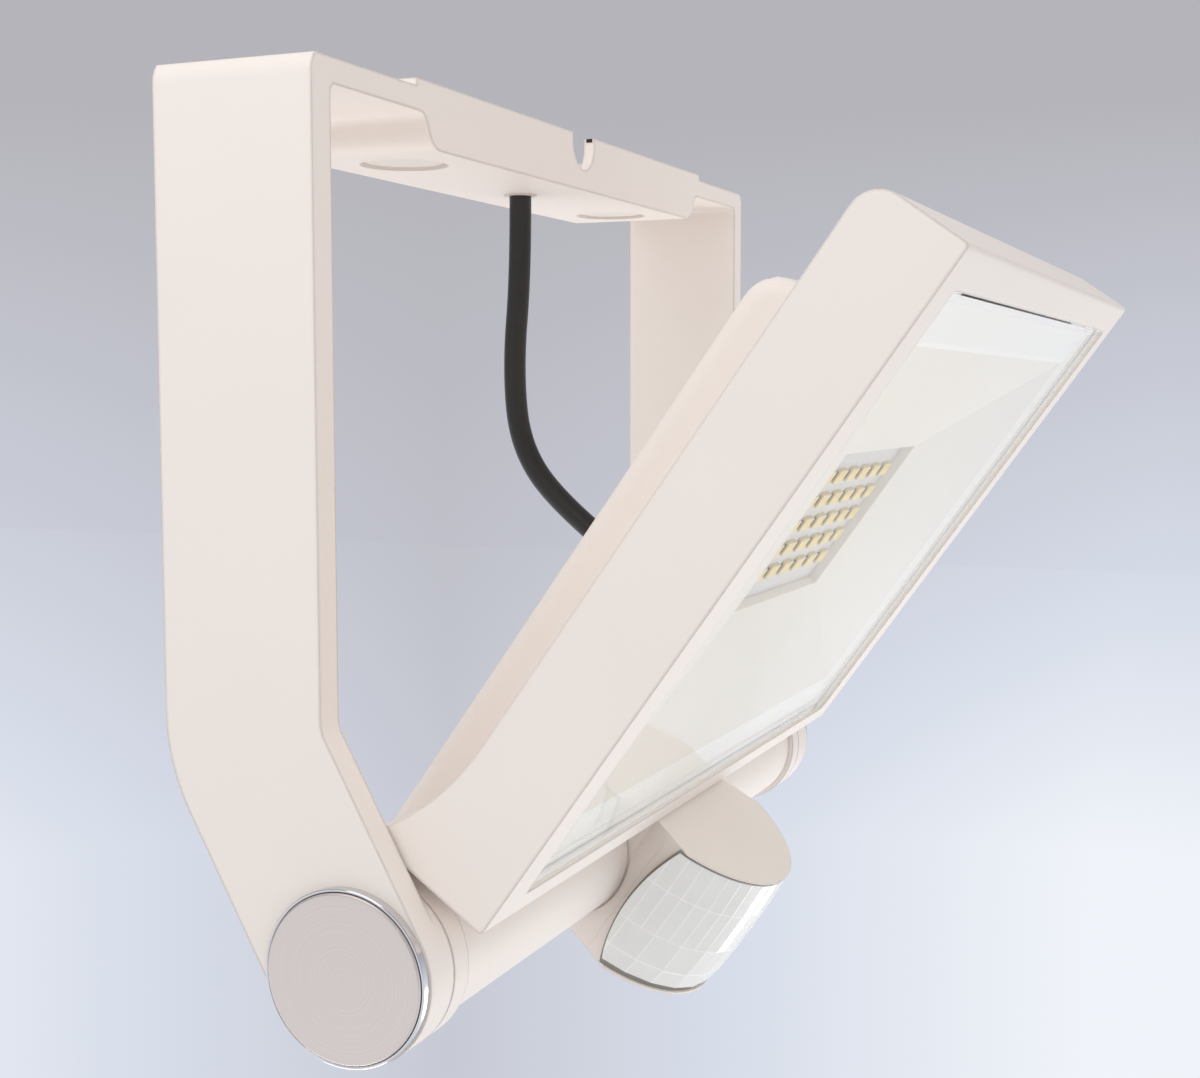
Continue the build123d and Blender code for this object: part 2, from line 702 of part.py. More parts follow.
# Gland where the cable enters the driver housing
with BuildPart() as cable_gland:
    with BuildSketch(lamp_face.offset(driver_back)):
        with Locations((cable_offset, gland_height)):
            Circle(gland_base_radius)
    extrude(amount=-gland_base_thickness)
    with BuildSketch(lamp_face.offset(driver_back - gland_base_thickness)):
        with Locations((cable_offset, gland_height)):
            RegularPolygon(gland_nut_radius, 6)
    extrude(amount=-gland_nut_height)
    chamfer(cable_gland.faces().sort_by(Axis(hinge, lamp_forward))[0].edges(), length=gland_edge)
save(cable_gland.part, "cable_gland")

# Cable: straight runs joined by arcs, from the grommet to the gland
gland_mouth = lamp_up * gland_height + lamp_forward * (driver_back - gland_base_thickness - gland_nut_height)
cable_end = hinge + gland_mouth + Vector(cable_offset, 0, 0)
cable_points = [Vector(cable_offset, cable_inlet_y, grommet_face)]
cable_points += [Vector(cable_offset, y, z) for y, z in cable_bends]
cable_points += [cable_end - lamp_forward * cable_last_run, cable_end]
cable_runs = [after - before for before, after in zip(cable_points, cable_points[1:])]
cable_radii = [
    0.45 * min(run.length, following.length) / tan(radians(run.get_angle(following) / 2))
    for run, following in zip(cable_runs, cable_runs[1:])
]
with BuildPart() as cable:
    with BuildLine() as cable_route:
        FilletPolyline(*cable_points, radius=cable_radii)
    with BuildSketch(Plane(origin=cable_points[0], z_dir=cable_runs[0])):
        Circle(cable_diameter / 2)
    sweep()
save(cable.part, "cable")
cable_section = pi * cable_diameter**2 / 4
cable_length = sum(edge.length for edge in cable_route.edges())
print("cable radii", [round(radius, 1) for radius in cable_radii], "length", round(cable_length, 1))
print("cable volume against section times length", cable.part.volume / cable_section / cable_length)

# Sensor head: a drum with tapered sides that run back to a hub on the axle
drum_front = drum_centre + sensor_half_width
drum_axis = Axis(hinge + lamp_forward * drum_centre, lamp_up)
shoulder = radians(sensor_shoulder_angle)
shoulder_x = sensor_half_width * cos(shoulder)
shoulder_y = drum_centre + sensor_half_width * sin(shoulder)
sensor_height = sensor_top - sensor_bottom
lens_high = sensor_top - lens_top_lip
lens_low = sensor_bottom + lens_bottom_lip
lens_middle = (lens_high + lens_low) / 2
cavity_back = tube_radius + sensor_wall
cavity_radius = sensor_half_width - lens_thickness - sensor_wall


def lens_side(inset, foot=0):
    """The lens seen from the side, smaller all round by inset and longer at the bottom by foot."""
    with BuildSketch(lamp_side) as outline:
        with Locations((lens_middle, lens_side_reach + lens_side_radius)):
            Circle(lens_side_radius - inset)
        with Locations((lens_high - inset, lens_side_reach)):
            Rectangle(
                lens_high - lens_low - 2 * inset + foot, 3 * lens_side_radius, align=(Align.MAX, Align.CENTER),
                mode=Mode.INTERSECT,
            )
    return outline.sketch


def cavity_plan(height, gap=0):
    """The room inside the drum, in front of the hub, seen from above."""
    with BuildSketch(plan_at(height)) as outline:
        with Locations((0, drum_centre)):
            Circle(cavity_radius - gap)
        with Locations((0, cavity_back + gap)):
            Rectangle(
                2 * sensor_half_width, 2 * sensor_half_width, align=(Align.CENTER, Align.MIN), mode=Mode.INTERSECT
            )
    return outline.sketch


seat_side = lens_side(-lens_groove, lens_foot_groove - lens_groove)
with BuildPart() as lens_seat:
    with BuildSketch(plan_at(sensor_top)):
        with Locations((0, drum_centre)):
            Circle(sensor_half_width + lens_thickness)
            Circle(sensor_half_width - lens_thickness, mode=Mode.SUBTRACT)
    extrude(amount=sensor_height)
    extrude(seat_side, amount=2 * sensor_half_width, both=True, mode=Mode.INTERSECT)

with BuildPart() as sensor_body:
    with BuildSketch(plan_at(sensor_top)):
        with BuildLine():
            ThreePointArc((-shoulder_x, shoulder_y), (0, drum_front), (shoulder_x, shoulder_y))
            Polyline(
                (shoulder_x, shoulder_y), (sensor_neck, neck_depth), (sensor_neck, 0), (-sensor_neck, 0),
                (-sensor_neck, neck_depth), (-shoulder_x, shoulder_y),
            )
        make_face()
    extrude(amount=sensor_height)
    with BuildSketch(Plane.YZ):
        with Locations((hinge.Y, hinge.Z)):
            Circle(tube_radius)
    extrude(amount=sensor_neck, both=True)
    extrude(cavity_plan(sensor_top - sensor_wall), amount=sensor_height, mode=Mode.SUBTRACT)
    extrude(lens_side(lens_ledge), amount=shoulder_x, both=True, mode=Mode.SUBTRACT)
    add(lens_seat.part, mode=Mode.SUBTRACT)
    with BuildSketch(plan_at(sensor_top - sensor_wall)):
        with Locations((0, base_screw_place)):
            with GridLocations(base_screw_spacing, 0, 2, 1):
                Circle(base_post_radius)
    extrude(amount=sensor_height - sensor_wall - sensor_base_thickness)
    with BuildSketch(Plane.YZ):
        with Locations((hinge.Y, hinge.Z)):
            Circle(sensor_axle_radius + running_play)
    extrude(amount=sensor_half_width, both=True, mode=Mode.SUBTRACT)
    for side in (-1, 1):
        with BuildSketch(axis_plane(side * sensor_neck)):
            with Locations((hinge.Y, hinge.Z)):
                Circle(tube_radius + sensor_gap)
        extrude(amount=side * sensor_half_width, mode=Mode.SUBTRACT)
save(sensor_body.part, "sensor_body")

# Lens: a shell moulded in tiers of flat facets, the lower tiers half as many, with a seal in the groove round it
with BuildPart() as sensor_lens:
    for (above, out_above), (below, out_below) in zip(lens_tiers, lens_tiers[1:]):
        facets = lens_facets if below > lens_tiers[-3][0] - 0.01 else lens_facets // 2
        for level, out in ((above, out_above), (below, out_below)):
            with BuildSketch(plan_at(lens_low + level * (lens_high - lens_low))):
                with Locations((0, drum_centre)):
                    RegularPolygon(sensor_half_width + out * lens_bulge, facets)
        loft(ruled=True)
    with BuildSketch(plan_at(sensor_top)):
        with Locations((0, drum_centre)):
            Circle(sensor_half_width - lens_thickness)
    extrude(amount=sensor_height, mode=Mode.SUBTRACT)
    extrude(lens_side(0), amount=2 * sensor_half_width, both=True, mode=Mode.INTERSECT)
save(sensor_lens.part, "sensor_lens")

with BuildPart() as lens_seal:
    with BuildSketch(plan_at(sensor_top)):
        with Locations((0, drum_centre)):
            Circle(sensor_half_width - lens_thickness + lens_seal_thickness)
            Circle(sensor_half_width - lens_thickness, mode=Mode.SUBTRACT)
    extrude(amount=sensor_height)
    extrude(seat_side, amount=2 * sensor_half_width, both=True, mode=Mode.INTERSECT)
    extrude(lens_side(0), amount=2 * sensor_half_width, both=True, mode=Mode.SUBTRACT)
save(lens_seal.part, "lens_seal")

with BuildPart() as sensor_base:
    extrude(cavity_plan(sensor_bottom + sensor_base_thickness), amount=sensor_base_thickness)
    with BuildSketch(plan_at(sensor_bottom)):
        with Locations((0, dial_forward)):
            with GridLocations(dial_spacing, 0, 2, 1):
                Circle(dial_radius + sensor_gap)
    extrude(amount=-dial_height / 2, mode=Mode.SUBTRACT)
    with BuildSketch(plan_at(sensor_bottom)):
        with Locations((0, dial_forward)):
            with GridLocations(dial_spacing, 0, 2, 1):
                Circle(dial_shaft_radius + running_play)
        with Locations((0, base_screw_place)):
            with GridLocations(base_screw_spacing, 0, 2, 1):
                Circle(base_screw_radius)
    extrude(amount=-sensor_base_thickness, mode=Mode.SUBTRACT)
save(sensor_base.part, "sensor_base")

with BuildPart() as sensor_screws:
    with BuildSketch(plan_at(sensor_bottom + sensor_base_thickness)):
        with Locations((0, base_screw_place)):
            with GridLocations(base_screw_spacing, 0, 2, 1):
                Circle(base_screw_radius)
    extrude(amount=sensor_base_thickness)
    with BuildSketch(plan_at(sensor_bottom)):
        with Locations((0, base_screw_place)):
            with GridLocations(base_screw_spacing, 0, 2, 1):
                Circle(base_post_radius)
    extrude(amount=base_screw_radius)
save(sensor_screws.part, "sensor_screws")

with BuildPart() as sensor_board:
    with BuildSketch(lamp_face.offset(cavity_back + sensor_board_gap)):
        with Locations((0, lens_middle)):
            Rectangle(sensor_board_width, sensor_board_height)
    extrude(amount=board_thickness)
save(sensor_board.part, "sensor_board")

with BuildPart() as pir_detector:
    with BuildSketch(lamp_face.offset(cavity_back + sensor_board_gap + board_thickness)):
        with Locations((0, lens_middle)):
            Circle(detector_radius)
    extrude(amount=detector_height)
save(pir_detector.part, "pir_detector")

for side, name in ((-1, "time_dial"), (1, "twilight_dial")):
    with BuildPart() as dial:
        with BuildSketch(plan_at(sensor_bottom + dial_height / 2 - running_play)):
            with Locations((side * dial_spacing / 2, dial_forward)):
                Circle(dial_radius)
        extrude(amount=dial_height)
        with BuildSketch(plan_at(sensor_bottom + sensor_base_thickness + dial_shaft_reach)):
            with Locations((side * dial_spacing / 2, dial_forward)):
                Circle(dial_shaft_radius)
        extrude(amount=sensor_base_thickness + dial_shaft_reach)
        with BuildSketch(plan_at(sensor_bottom - dial_height / 2 - running_play)):
            with Locations((side * dial_spacing / 2, dial_forward)):
                Rectangle(2 * dial_radius, dial_slot)
        extrude(amount=-dial_slot, mode=Mode.SUBTRACT)
    save(dial.part, name)
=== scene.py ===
import json
import math

import bpy
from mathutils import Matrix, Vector


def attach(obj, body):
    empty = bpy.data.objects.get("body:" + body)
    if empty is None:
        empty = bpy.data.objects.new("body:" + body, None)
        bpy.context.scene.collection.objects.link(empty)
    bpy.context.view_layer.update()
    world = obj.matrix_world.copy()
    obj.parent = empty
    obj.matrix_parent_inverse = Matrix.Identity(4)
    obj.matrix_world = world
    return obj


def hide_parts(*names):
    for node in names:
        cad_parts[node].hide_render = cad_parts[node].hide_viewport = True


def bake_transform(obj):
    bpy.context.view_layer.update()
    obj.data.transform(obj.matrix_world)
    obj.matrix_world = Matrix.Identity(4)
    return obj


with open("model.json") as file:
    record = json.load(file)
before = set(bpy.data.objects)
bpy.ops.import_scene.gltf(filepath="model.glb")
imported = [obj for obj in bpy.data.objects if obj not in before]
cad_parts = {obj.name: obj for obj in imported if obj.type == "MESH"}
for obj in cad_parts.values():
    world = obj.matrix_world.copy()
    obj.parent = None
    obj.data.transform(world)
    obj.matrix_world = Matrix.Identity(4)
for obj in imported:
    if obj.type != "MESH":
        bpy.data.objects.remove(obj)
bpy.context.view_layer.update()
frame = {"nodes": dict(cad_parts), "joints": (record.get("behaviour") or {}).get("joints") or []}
nodes = frame["nodes"]
mm = 0.001

# The camera hangs beside the near leg, just under the height of the bracket's base, and looks along the
# hinge and a little down, so that the near leg stands large at the left and the panel opens to the right.
camera_place = Vector((-340.2, -162.2, -54.4)) * mm
camera_target = Vector((27.0, -7.4, -88.7)) * mm
camera_data = bpy.data.cameras.new("camera")
camera_data.sensor_fit = "HORIZONTAL"
camera_data.sensor_width = 36.0
camera_data.lens = 51.4
camera_data.clip_start = 10 * mm
camera = bpy.data.objects.new("camera", camera_data)
camera.location = camera_place
camera.rotation_euler = (camera_target - camera_place).to_track_quat("-Z", "Y").to_euler()
bpy.context.scene.collection.objects.link(camera)
bpy.context.scene.camera = camera

# Lamp cable: a round three-core flex in an extruded black PVC jacket, 4.8 mm thick. It hangs out of the
# grommet in the bracket's base, curves forward and goes into the gland on the driver housing's back.
hinge = Vector(next(joint["pos_m"] for joint in frame["joints"] if joint["name"] == "lamp_tilt"))
lean = math.radians(35.4)
lamp_up = Vector((0, -math.sin(lean), math.cos(lean)))
lamp_forward = Vector((0, -math.cos(lean), -math.sin(lean)))


def on_lamp(across, height, out):
    """A place on the leaning lamp: across, up its face from the hinge and out of it, in millimetres."""
    return hinge + (Vector((across, 0, 0)) + lamp_up * height + lamp_forward * out) * mm


cable_diameter = 4.8 * mm
gland_mouth = on_lamp(2.0, 50.0, -31.1)
gland_run = 16.6 * mm
hanging_points = ((2.0, 0.9, -12.0), (2.0, 0.9, -28.0), (2.0, 2.9, -50.0), (2.0, 0.9, -67.5))
cable_route = [Vector(point) * mm for point in hanging_points]
cable_route += [gland_mouth - lamp_forward * gland_run, gland_mouth]


def spline_curve(name, points, radius):
    """A smooth round curve along the route's points."""
    data = bpy.data.curves.new(name, "CURVE")
    data.dimensions = "3D"
    data.bevel_depth = radius
    data.bevel_resolution = 8
    data.resolution_u = 16
    spline = data.splines.new("NURBS")
    spline.points.add(len(points) - 1)
    for control, point in zip(spline.points, points):
        control.co = (*point, 1.0)
    spline.order_u = 3
    spline.use_endpoint_u = True
    return bpy.data.objects.new(name, data)


def curve_mesh(curve):
    """The curve as a mesh of its own."""
    bpy.context.scene.collection.objects.link(curve)
    mesh = bpy.data.meshes.new_from_object(curve)
    bpy.data.objects.remove(curve)
    return mesh


def linear(code):
    """An sRGB hex value as linear red, green, blue and alpha."""
    channels = [int(code[i:i + 2], 16) / 255 for i in (1, 3, 5)]
    return (*[c / 12.92 if c <= 0.04045 else ((c + 0.055) / 1.055) ** 2.4 for c in channels], 1.0)


def add(tree, kind, inputs=None, **settings):
    """Adds a node with its settings, and sets or links its inputs."""
    node = tree.nodes.new(kind)
    for name, value in settings.items():
        setattr(node, name, value)
    for name, value in (inputs or {}).items():
        if isinstance(value, bpy.types.NodeSocket):
            tree.links.new(value, node.inputs[name])
        else:
            node.inputs[name].default_value = value
    return node


def new_material(name):
    """An empty material and its node tree."""
    material = bpy.data.materials.new(name)
    material.use_nodes = True
    material.node_tree.nodes.clear()
    return material, material.node_tree


# The jacket is almost black, with the soft wide shine of slightly waxy plastic and a grain of about 0.9 mm.
pvc, tree = new_material("extruded_black_pvc")
place = add(tree, "ShaderNodeTexCoord")
grain = add(
    tree, "ShaderNodeTexNoise",
    {"Vector": place.outputs["Object"], "Scale": 1 / (0.9 * mm), "Detail": 3.0},
)
shade = add(
    tree, "ShaderNodeMix",
    {"Factor": grain.outputs["Fac"], "A": linear("#1C1917"), "B": linear("#26221F")}, data_type="RGBA",
)
gloss = add(tree, "ShaderNodeMapRange", {"Value": grain.outputs["Fac"], "To Min": 0.36, "To Max": 0.46})
bump = add(tree, "ShaderNodeBump", {"Height": grain.outputs["Fac"], "Strength": 0.15, "Distance": 0.05 * mm})
surface = add(
    tree, "ShaderNodeBsdfPrincipled",
    {
        "Base Color": shade.outputs["Result"],
        "Roughness": gloss.outputs["Result"],
        "Normal": bump.outputs["Normal"],
    },
)
add(tree, "ShaderNodeOutputMaterial", {"Surface": surface.outputs["BSDF"]})


def link_piece(name, mesh, material, smooth=True):
    """Puts a mesh into the scene as a piece with this material."""
    piece = bpy.data.objects.new(name, mesh)
    bpy.context.scene.collection.objects.link(piece)
    mesh.materials.append(material)
    mesh.polygons.foreach_set("use_smooth", [smooth] * len(mesh.polygons))
    return piece


cable = link_piece("lamp_cable", curve_mesh(spline_curve("cable_line", cable_route, cable_diameter / 2)), pvc)
cable_axis = curve_mesh(spline_curve("cable_path", cable_route, 0.0))
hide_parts("cable")
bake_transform(cable)

# Mounting bracket and lamp housing: die-cast aluminium, blasted and powder-coated in a warm off-white. The
# bracket is screwed to the ceiling through its base; the housing and its tube hang between the legs.


def dress(material, *names):
    """Gives CAD nodes this material."""
    for name in names:
        slots = nodes[name].data.materials
        slots.clear()
        slots.append(material)


# A satin coat: melted powder leaves a faint orange peel about 1.6 mm across, over a finer dust of 0.3 mm,
# and pulls back a little from sharp edges, which it rounds to about a millimetre.
coat, tree = new_material("powder_coated_aluminium")
place = add(tree, "ShaderNodeTexCoord")
peel = add(
    tree, "ShaderNodeTexNoise",
    {"Vector": place.outputs["Object"], "Scale": 1 / (1.6 * mm), "Detail": 1.0},
)
dust = add(
    tree, "ShaderNodeTexNoise",
    {"Vector": place.outputs["Object"], "Scale": 1 / (0.3 * mm), "Detail": 2.0},
)
cloud = add(
    tree, "ShaderNodeTexNoise",
    {"Vector": place.outputs["Object"], "Scale": 1 / (40 * mm), "Detail": 2.0},
)
shade = add(
    tree, "ShaderNodeMix",
    {"Factor": cloud.outputs["Fac"], "A": linear("#F7EEE7"), "B": linear("#F3EAE3")}, data_type="RGBA",
)
gloss = add(tree, "ShaderNodeMapRange", {"Value": cloud.outputs["Fac"], "To Min": 0.44, "To Max": 0.54})
edge = add(tree, "ShaderNodeBevel", {"Radius": 1.0 * mm}, samples=4)
rough = add(
    tree, "ShaderNodeBump",
    {
        "Height": dust.outputs["Fac"], "Strength": 0.06, "Distance": 0.02 * mm,
        "Normal": edge.outputs["Normal"],
    },
)
bump = add(
    tree, "ShaderNodeBump",
    {
        "Height": peel.outputs["Fac"], "Strength": 0.1, "Distance": 0.05 * mm,
        "Normal": rough.outputs["Normal"],
    },
)
surface = add(
    tree, "ShaderNodeBsdfPrincipled",
    {
        "Base Color": shade.outputs["Result"],
        "Roughness": gloss.outputs["Result"],
        "Normal": bump.outputs["Normal"],
    },
)
add(tree, "ShaderNodeOutputMaterial", {"Surface": surface.outputs["BSDF"]})
dress(coat, "mounting_bracket", "lamp_housing", "hinge_tube_left", "hinge_tube_right")

# Screw covers: two round caps of white polythene, pressed into the recesses under the bracket's base to
# keep rain off the ceiling screws. They sit a little below the surface, with a fine dark line round them.


def disc_mesh(name, centre_places, levels, steps=40):
    """Round discs facing down, each from (height, radius) rings in millimetres that end in a flat face."""
    points, faces = [], []
    for x, y in centre_places:
        start = len(points)
        for z, radius in levels:
            points += [
                Vector((x + radius * math.cos(turn), y + radius * math.sin(turn), z)) * mm
                for turn in (2 * math.pi * step / steps for step in range(steps))
            ]
        for row in range(len(levels) - 1):
            for step in range(steps):
                low, high = start + row * steps, start + (row + 1) * steps
                faces.append((low + step, high + step, high + (step + 1) % steps, low + (step + 1) % steps))
        faces.append(tuple(start + step for step in range(steps)))
        faces.append(tuple(start + (len(levels) - 1) * steps + step for step in reversed(range(steps))))
    mesh = bpy.data.meshes.new(name)
    mesh.from_pydata(points, [], faces)
    return mesh


polythene, tree = new_material("white_polythene_cap")
place = add(tree, "ShaderNodeTexCoord")
cloud = add(
    tree, "ShaderNodeTexNoise",
    {"Vector": place.outputs["Object"], "Scale": 1 / (8 * mm), "Detail": 2.0},
)
shade = add(
    tree, "ShaderNodeMix",
    {"Factor": cloud.outputs["Fac"], "A": linear("#EFE9E0"), "B": linear("#E8E1D7")}, data_type="RGBA",
)
surface = add(tree, "ShaderNodeBsdfPrincipled", {"Base Color": shade.outputs["Result"], "Roughness": 0.4})
add(tree, "ShaderNodeOutputMaterial", {"Surface": surface.outputs["BSDF"]})
cover_places = ((-51.0, 0.0), (51.0, 0.0))
cover_levels = ((-9.4, 7.9), (-10.7, 7.9), (-11.1, 7.5))
cover_mesh = disc_mesh("screw_covers", cover_places, cover_levels)
covers = link_piece("screw_covers", cover_mesh, polythene, smooth=False)
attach(covers, "bracket")

# Ceiling seal: a strip of black closed-cell foam rubber, die-cut and stuck into the groove round the
# terminal box, so that no water runs in between the bracket and the ceiling.


def foam_like(name, light, dark, cell, roughness):
    """A matt rubber with a cell pattern of a real size."""
    material, tree = new_material(name)
    place = add(tree, "ShaderNodeTexCoord")
    cells = add(tree, "ShaderNodeTexVoronoi", {"Vector": place.outputs["Object"], "Scale": 1 / cell})
    shade = add(
        tree, "ShaderNodeMix",
        {"Factor": cells.outputs["Distance"], "A": linear(dark), "B": linear(light)}, data_type="RGBA",
    )
    bump = add(
        tree, "ShaderNodeBump",
        {"Height": cells.outputs["Distance"], "Strength": 0.3, "Distance": cell / 8},
    )
    surface = add(
        tree, "ShaderNodeBsdfPrincipled",
        {"Base Color": shade.outputs["Result"], "Roughness": roughness, "Normal": bump.outputs["Normal"]},
    )
    add(tree, "ShaderNodeOutputMaterial", {"Surface": surface.outputs["BSDF"]})
    return material


# Foam cells are about 0.4 mm across.
foam = foam_like("black_foam_rubber", "#34302E", "#1E1B1A", 0.4 * mm, 0.85)
dress(foam, "ceiling_gasket")

# Wiring in the base: a three-way terminal block and a cord clamp, moulded in natural polyamide, with brass
# terminal screws and zinc-plated clamp screws. They are screwed to the floor of the terminal box.


def moulded(name, light, dark, roughness, grain=0.5 * mm, depth=0.012 * mm):
    """A moulded plastic with a spark-eroded grain of a real size and a slight cloudiness."""
    material, tree = new_material(name)
    place = add(tree, "ShaderNodeTexCoord")
    cloud = add(
        tree, "ShaderNodeTexNoise",
        {"Vector": place.outputs["Object"], "Scale": 1 / (25 * mm), "Detail": 2.0},
    )
    shade = add(
        tree, "ShaderNodeMix",
        {"Factor": cloud.outputs["Fac"], "A": linear(light), "B": linear(dark)}, data_type="RGBA",
    )
    spark = add(
        tree, "ShaderNodeTexNoise",
        {"Vector": place.outputs["Object"], "Scale": 1 / grain, "Detail": 3.0},
    )
    gloss = add(
        tree, "ShaderNodeMapRange",
        {"Value": spark.outputs["Fac"], "To Min": roughness - 0.05, "To Max": roughness + 0.05},
    )
    edge = add(tree, "ShaderNodeBevel", {"Radius": 0.3 * mm}, samples=4)
    bump = add(
        tree, "ShaderNodeBump",
        {
            "Height": spark.outputs["Fac"], "Strength": 0.3, "Distance": depth,
            "Normal": edge.outputs["Normal"],
        },
    )
    surface = add(
        tree, "ShaderNodeBsdfPrincipled",
        {
            "Base Color": shade.outputs["Result"],
            "Roughness": gloss.outputs["Result"],
            "Normal": bump.outputs["Normal"],
        },
    )
    add(tree, "ShaderNodeOutputMaterial", {"Surface": surface.outputs["BSDF"]})
    return material


def metal(name, light, dark, roughness, grain):
    """A bare or plated metal whose tint and shine vary over patches of a real size."""
    material, tree = new_material(name)
    place = add(tree, "ShaderNodeTexCoord")
    patch = add(
        tree, "ShaderNodeTexNoise",
        {"Vector": place.outputs["Object"], "Scale": 1 / grain, "Detail": 4.0},
    )
    shade = add(
        tree, "ShaderNodeMix",
        {"Factor": patch.outputs["Fac"], "A": linear(light), "B": linear(dark)}, data_type="RGBA",
    )
    gloss = add(
        tree, "ShaderNodeMapRange",
        {"Value": patch.outputs["Fac"], "To Min": roughness - 0.06, "To Max": roughness + 0.06},
    )
    surface = add(
        tree, "ShaderNodeBsdfPrincipled",
        {"Base Color": shade.outputs["Result"], "Metallic": 1.0, "Roughness": gloss.outputs["Result"]},
    )
    add(tree, "ShaderNodeOutputMaterial", {"Surface": surface.outputs["BSDF"]})
    return material


# Natural polyamide is a cloudy ivory, brass is drawn and dull, and zinc plating has pale spangles.
polyamide = moulded("natural_polyamide", "#E9E3D6", "#E1DACB", 0.5)
dress(polyamide, "terminal_block", "cord_clamp")
brass = metal("drawn_brass", "#C9A45A", "#B38F4C", 0.32, 1.5 * mm)
dress(brass, "terminal_screws")
zinc = metal("zinc_plated_steel", "#BDBEC0", "#A4A5A8", 0.36, 1.2 * mm)
dress(zinc, "clamp_screws")

# Grommet: a ring of pale silicone, pressed into the hole in the box's floor, that seals round the cable.
silicone = moulded("pale_silicone", "#E6E0DA", "#DED8D1", 0.6)
dress(silicone, "cable_grommet")

# Hinges: a shoulder screw turns in an acetal bush in each leg, held by a washer; axle, screws and washers are
# zinc-plated steel. A chromed ring and a turned cap in satin nickel close each hub, and the cap snaps in.
acetal = moulded("white_acetal", "#F0EEEA", "#E8E6E1", 0.35)
dress(acetal, "hinge_bush_left", "hinge_bush_right")
dress(zinc, "hinge_screw_left", "hinge_screw_right", "sensor_axle")
dress(zinc, "friction_washer_left", "friction_washer_right")
chrome = metal("polished_chrome", "#E2E1E2", "#D8D7D9", 0.14, 20 * mm)
dress(chrome, "cap_ring_left", "cap_ring_right")

# Turning leaves fine rings round the hub's axis, drawn 0.35 mm apart so that they just show.
nickel, tree = new_material("turned_satin_nickel")
place = add(tree, "ShaderNodeTexCoord")
from_axis = add(tree, "ShaderNodeVectorMath", {0: place.outputs["Object"], 1: hinge}, operation="SUBTRACT")
flat = add(tree, "ShaderNodeVectorMath", {0: from_axis.outputs["Vector"], 1: (0, 1, 1)}, operation="MULTIPLY")
radius = add(tree, "ShaderNodeVectorMath", {0: flat.outputs["Vector"]}, operation="LENGTH")
rings = add(
    tree, "ShaderNodeTexNoise",
    {"W": radius.outputs["Value"], "Scale": 1 / (0.35 * mm), "Detail": 2.0}, noise_dimensions="1D",
)
shade = add(
    tree, "ShaderNodeMix",
    {"Factor": rings.outputs["Fac"], "A": linear("#EEE3DB"), "B": linear("#E5DAD3")}, data_type="RGBA",
)
gloss = add(tree, "ShaderNodeMapRange", {"Value": rings.outputs["Fac"], "To Min": 0.34, "To Max": 0.44})
bump = add(tree, "ShaderNodeBump", {"Height": rings.outputs["Fac"], "Strength": 0.06, "Distance": 0.02 * mm})
surface = add(
    tree, "ShaderNodeBsdfPrincipled",
    {
        "Base Color": shade.outputs["Result"], "Metallic": 1.0,
        "Roughness": gloss.outputs["Result"], "Normal": bump.outputs["Normal"],
    },
)
add(tree, "ShaderNodeOutputMaterial", {"Surface": surface.outputs["BSDF"]})
dress(nickel, "hub_cap_left", "hub_cap_right")

# Light source: thirty light packages soldered in five rows to an aluminium-core board, which sits on a
# grey silicone heat pad. Each package is a moulded pale body with a window of yellow phosphor gel.
heat_pad = foam_like("grey_heat_pad", "#A8ADAF", "#989DA0", 0.6 * mm, 0.8)
dress(heat_pad, "heat_pad")

light_middle = 83.8
light_level = -1.0
light_columns = 6
light_rows = 5
light_pitch = 9.0
light_row_pitch = 5.9
package_length = 5.7
package_width = 3.0
window_margin = 0.45

# White solder resist over copper: the tracks show as faint ridges 2.37 mm apart between the rows. Blender's
# wave repeats every pi / 10 of its own unit.
track_pitch = 2.37 * mm
resist, tree = new_material("white_solder_resist")
place = add(tree, "ShaderNodeTexCoord")
turned = add(tree, "ShaderNodeMapping", {"Vector": place.outputs["Object"], "Rotation": (-lean, 0, 0)})
tracks = add(
    tree, "ShaderNodeTexWave",
    {"Vector": turned.outputs["Vector"], "Scale": math.pi / 10 / track_pitch}, bands_direction="Z",
)
speck = add(
    tree, "ShaderNodeTexNoise",
    {"Vector": place.outputs["Object"], "Scale": 1 / (0.8 * mm), "Detail": 2.0},
)
shade = add(
    tree, "ShaderNodeMix",
    {"Factor": speck.outputs["Fac"], "A": linear("#E0DAD6"), "B": linear("#D2CDC9")}, data_type="RGBA",
)
bump = add(tree, "ShaderNodeBump", {"Height": tracks.outputs["Fac"], "Strength": 0.2, "Distance": 0.03 * mm})
surface = add(
    tree, "ShaderNodeBsdfPrincipled",
    {"Base Color": shade.outputs["Result"], "Roughness": 0.42, "Normal": bump.outputs["Normal"]},
)
add(tree, "ShaderNodeOutputMaterial", {"Surface": surface.outputs["BSDF"]})
dress(resist, "led_board")

package_body = moulded("pale_package_resin", "#F2E3B4", "#E8D69C", 0.45)
dress(package_body, "leds")
columns_across = [(column - (light_columns - 1) / 2) * light_pitch for column in range(light_columns)]
rows_up = [light_middle + (row - (light_rows - 1) / 2) * light_row_pitch for row in range(light_rows)]
package_places = [(across, height) for height in rows_up for across in columns_across]


def lamp_mesh(name, points, faces):
    """A mesh from points given on the leaning lamp, in millimetres."""
    mesh = bpy.data.meshes.new(name)
    mesh.from_pydata([on_lamp(*point) for point in points], [], faces)
    mesh.validate()
    mesh.update()
    return mesh


